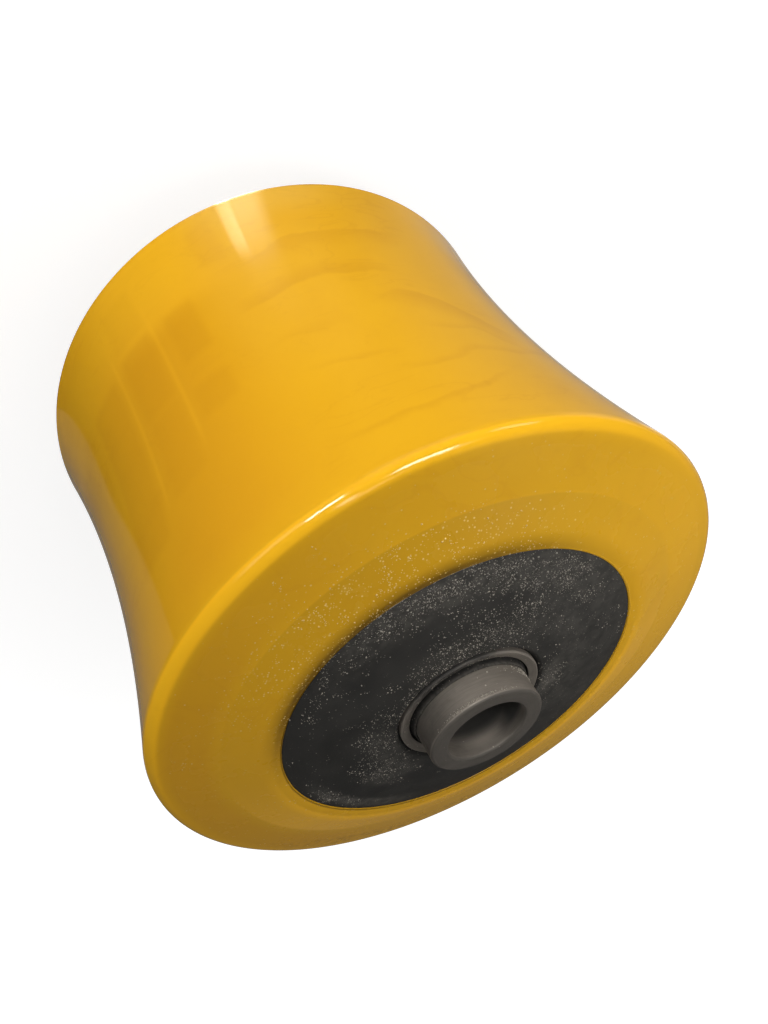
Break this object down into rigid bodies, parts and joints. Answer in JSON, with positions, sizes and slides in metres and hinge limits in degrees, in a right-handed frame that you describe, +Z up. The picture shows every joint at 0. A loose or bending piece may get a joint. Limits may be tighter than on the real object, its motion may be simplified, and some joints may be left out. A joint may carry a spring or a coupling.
{
  "type": "cradle roller",
  "caption": "Hourglass polyurethane roller on a solid hub that spins on sealed needle bearings about a steel sleeve for a through axle.",
  "frame": {"origin": "centre of the sleeve's lower (back) end face, on the roller's axis, where the roller stands on its end", "axes": "+Z up along the roller's axis, from the back end towards the front end that the picture shows; X and Y across the roller, which looks the same all round"},
  "size_m": [0.1948, 0.1948, 0.2034],
  "materials": {
    "tyre_polyurethane": "gloss",
    "hub_nylon": "matte",
    "sleeve_steel": "satin",
    "seal_steel": "satin",
    "seal_rubber": "matte",
    "spring_steel": "satin",
    "bearing_steel": "polished",
    "cage_steel": "satin",
    "washer_bronze": "satin"
  },
  "bodies": {
    "fixed_sleeve": {"sleeve": "sleeve_steel", "front_retaining_ring": "spring_steel", "back_retaining_ring": "spring_steel"},
    "roller": {"tyre": "tyre_polyurethane", "hub": "hub_nylon", "front_seal_case": "seal_steel", "front_seal_lip": "seal_rubber", "front_garter_spring": "spring_steel", "front_bearing_cup": "bearing_steel", "front_thrust_washer": "washer_bronze", "back_seal_case": "seal_steel", "back_seal_lip": "seal_rubber", "back_garter_spring": "spring_steel", "back_bearing_cup": "bearing_steel", "back_thrust_washer": "washer_bronze"},
    "front_needle_set": {"front_needle_cage": "cage_steel", "front_needles": "bearing_steel"},
    "back_needle_set": {"back_needle_cage": "cage_steel", "back_needles": "bearing_steel"}
  },
  "joints": [
    {"name": "roller_spin", "type": "hinge", "parent": "fixed_sleeve", "child": "roller", "pos_m": [0, 0, 0.1017], "axis": [0, 0, 1], "continuous": true},
    {"name": "front_needle_orbit", "type": "hinge", "parent": "fixed_sleeve", "child": "front_needle_set", "pos_m": [0, 0, 0.1734], "axis": [0, 0, 1], "continuous": true},
    {"name": "back_needle_orbit", "type": "hinge", "parent": "fixed_sleeve", "child": "back_needle_set", "pos_m": [0, 0, 0.03], "axis": [0, 0, 1], "continuous": true}
  ],
  "couplings": [
    {"joint": "front_needle_orbit", "follows": "roller_spin", "ratio": 0.53715},
    {"joint": "back_needle_orbit", "follows": "roller_spin", "ratio": 0.53715}
  ]
}
